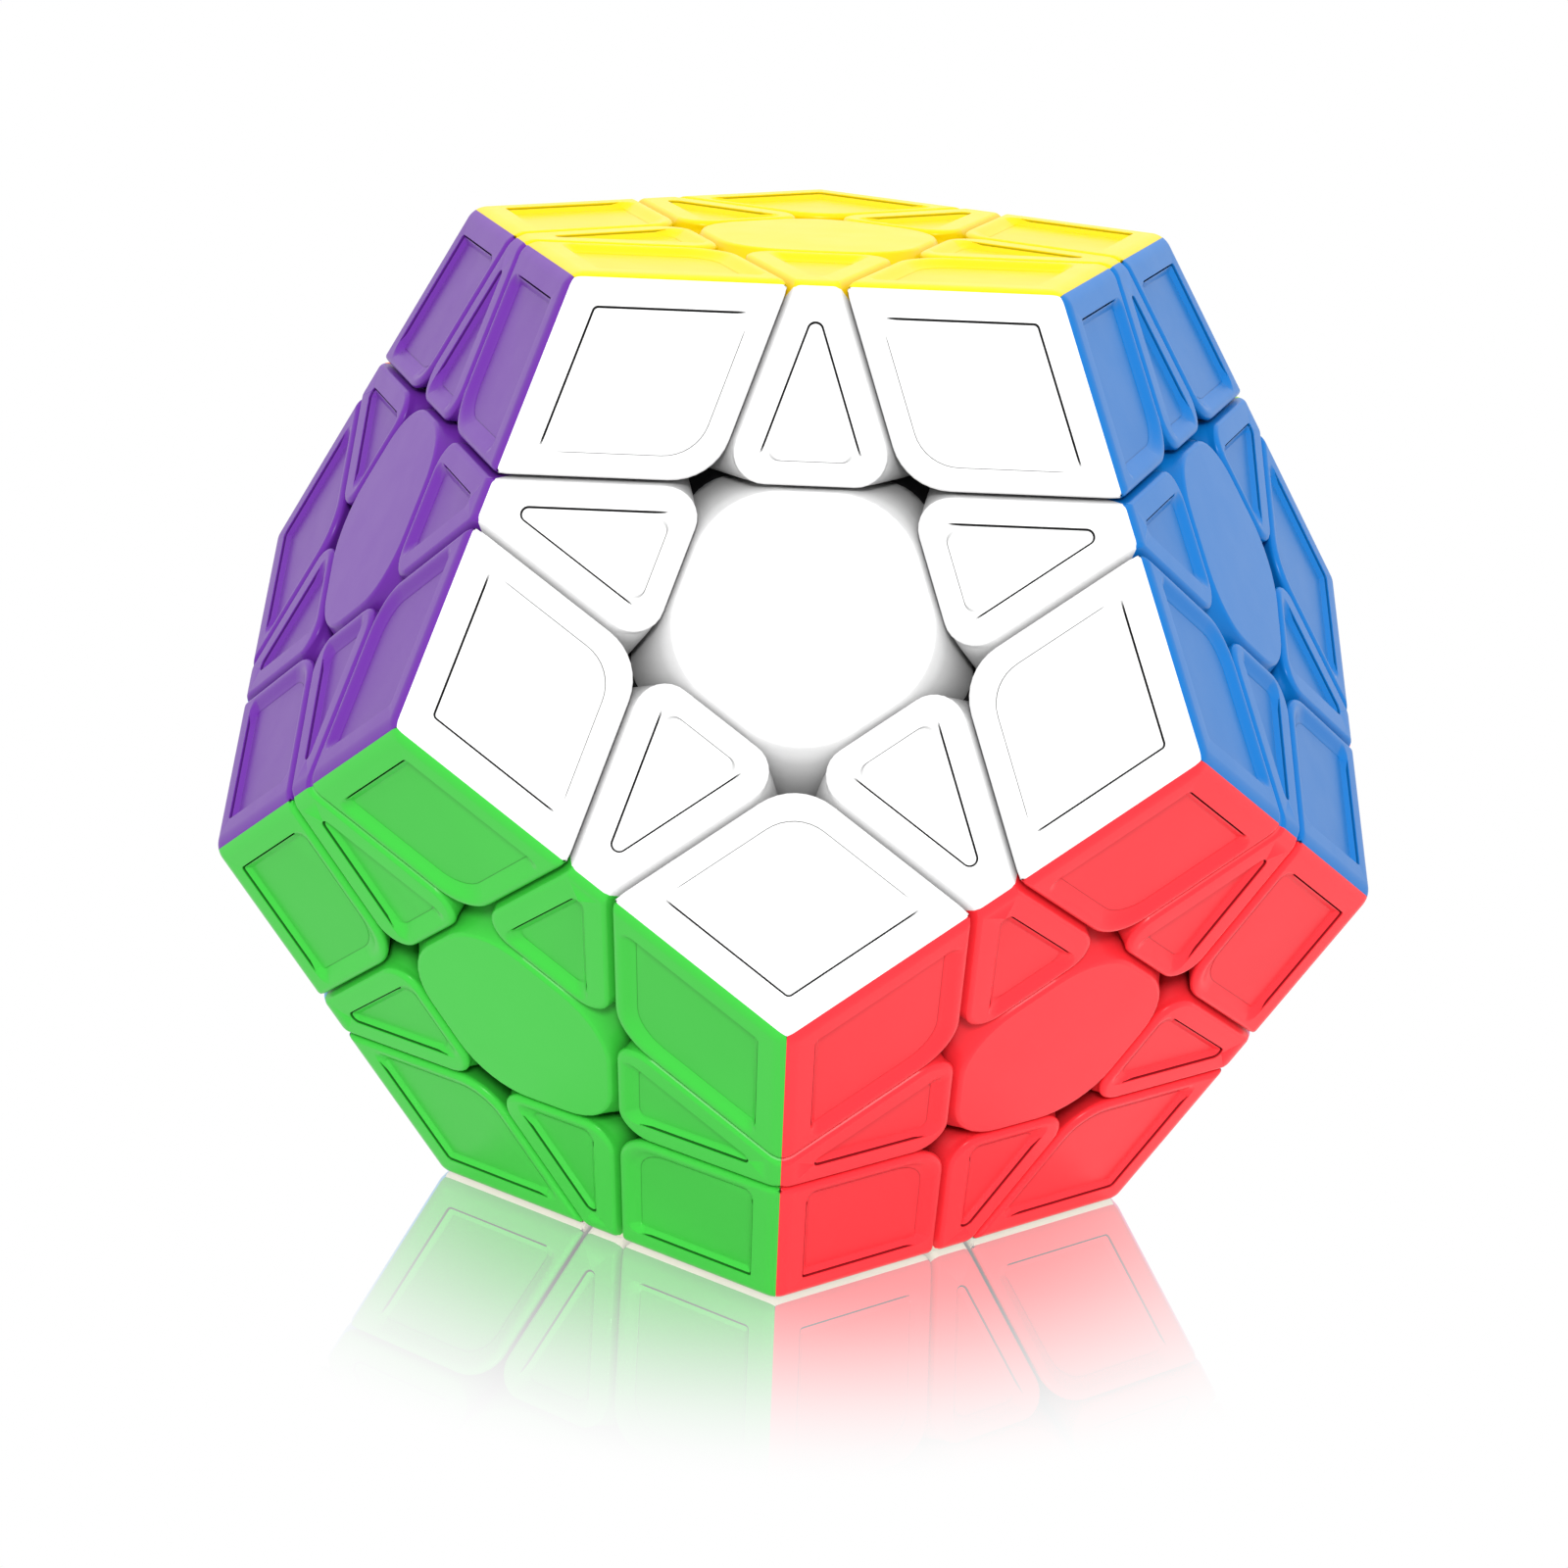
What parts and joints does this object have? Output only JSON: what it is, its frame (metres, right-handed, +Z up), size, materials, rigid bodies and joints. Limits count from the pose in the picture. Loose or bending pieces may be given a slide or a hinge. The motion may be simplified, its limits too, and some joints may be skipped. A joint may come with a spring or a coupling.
{
  "type": "dodecahedron twisty puzzle",
  "caption": "Twisty puzzle in the shape of a dodecahedron, with faces in different colours that turn about their centres, and recessed tiles.",
  "frame": {"origin": "centre of the bottom face, which the puzzle rests on", "axes": "+Z up through the top and bottom faces, -Y towards the front face, which leans up by 26.6 degrees"},
  "size_m": [0.0936, 0.0982, 0.0802],
  "materials": {
    "black_plastic": "fine moulded",
    "blue_plastic": "satin moulded, coloured through",
    "cream_plastic": "satin moulded, coloured through",
    "green_plastic": "satin moulded, coloured through",
    "grey_plastic": "satin moulded, coloured through",
    "light_blue_plastic": "satin moulded, coloured through",
    "lime_plastic": "satin moulded, coloured through",
    "orange_plastic": "satin moulded, coloured through",
    "pink_plastic": "satin moulded, coloured through",
    "purple_plastic": "satin moulded, coloured through",
    "red_plastic": "satin moulded, coloured through",
    "steel": "bright zinc plated",
    "white_plastic": "satin moulded, coloured through",
    "yellow_plastic": "satin moulded, coloured through"
  },
  "bodies": {
    "main": {"blue_centre_cap": "blue_plastic", "core": "black_plastic", "green_centre_cap": "green_plastic", "grey_centre_cap": "grey_plastic", "light_blue_centre_cap": "light_blue_plastic", "lime_centre_cap": "lime_plastic", "main_blue_shells": "blue_plastic", "main_centre_base": "black_plastic", "main_corner_feet": "black_plastic", "main_edge_feet": "black_plastic", "main_green_shells": "green_plastic", "main_grey_shells": "grey_plastic", "main_light_blue_shells": "light_blue_plastic", "main_lime_shells": "lime_plastic", "main_pink_shells": "pink_plastic", "main_purple_shells": "purple_plastic", "main_red_shells": "red_plastic", "main_yellow_shells": "yellow_plastic", "pink_centre_cap": "pink_plastic", "purple_centre_cap": "purple_plastic", "red_centre_cap": "red_plastic", "screws": "steel", "springs": "steel", "washers": "steel", "yellow_centre_cap": "yellow_plastic"},
    "front_layer": {"front_blue_shells": "blue_plastic", "front_centre_base": "black_plastic", "front_corner_feet": "black_plastic", "front_edge_feet": "black_plastic", "front_green_shells": "green_plastic", "front_purple_shells": "purple_plastic", "front_red_shells": "red_plastic", "front_white_corner_shells": "white_plastic", "front_white_edge_shells": "white_plastic", "front_yellow_shells": "yellow_plastic", "white_centre_cap": "white_plastic"},
    "bottom_layer": {"bottom_centre_base": "black_plastic", "bottom_corner_feet": "black_plastic", "bottom_cream_corner_shells": "cream_plastic", "bottom_cream_edge_shells": "cream_plastic", "bottom_edge_feet": "black_plastic", "bottom_green_shells": "green_plastic", "bottom_grey_shells": "grey_plastic", "bottom_light_blue_shells": "light_blue_plastic", "bottom_pink_shells": "pink_plastic", "bottom_red_shells": "red_plastic", "cream_centre_cap": "cream_plastic"},
    "rear_layer": {"orange_centre_cap": "orange_plastic", "rear_centre_base": "black_plastic", "rear_corner_feet": "black_plastic", "rear_edge_feet": "black_plastic", "rear_grey_shells": "grey_plastic", "rear_light_blue_shells": "light_blue_plastic", "rear_lime_shells": "lime_plastic", "rear_orange_corner_shells": "orange_plastic", "rear_orange_edge_shells": "orange_plastic", "rear_purple_shells": "purple_plastic", "rear_yellow_shells": "yellow_plastic"}
  },
  "joints": [
    {"name": "front_face_turn", "type": "hinge", "parent": "main", "child": "front_layer", "pos_m": [0, 0, 0.04009], "axis": [0, -0.8944, 0.4472], "continuous": true},
    {"name": "bottom_face_turn", "type": "hinge", "parent": "main", "child": "bottom_layer", "pos_m": [0, 0, 0.04009], "axis": [0, 0, -1], "continuous": true},
    {"name": "rear_face_turn", "type": "hinge", "parent": "main", "child": "rear_layer", "pos_m": [0, 0, 0.04009], "axis": [-0.5257, 0.7236, 0.4472], "continuous": true}
  ]
}
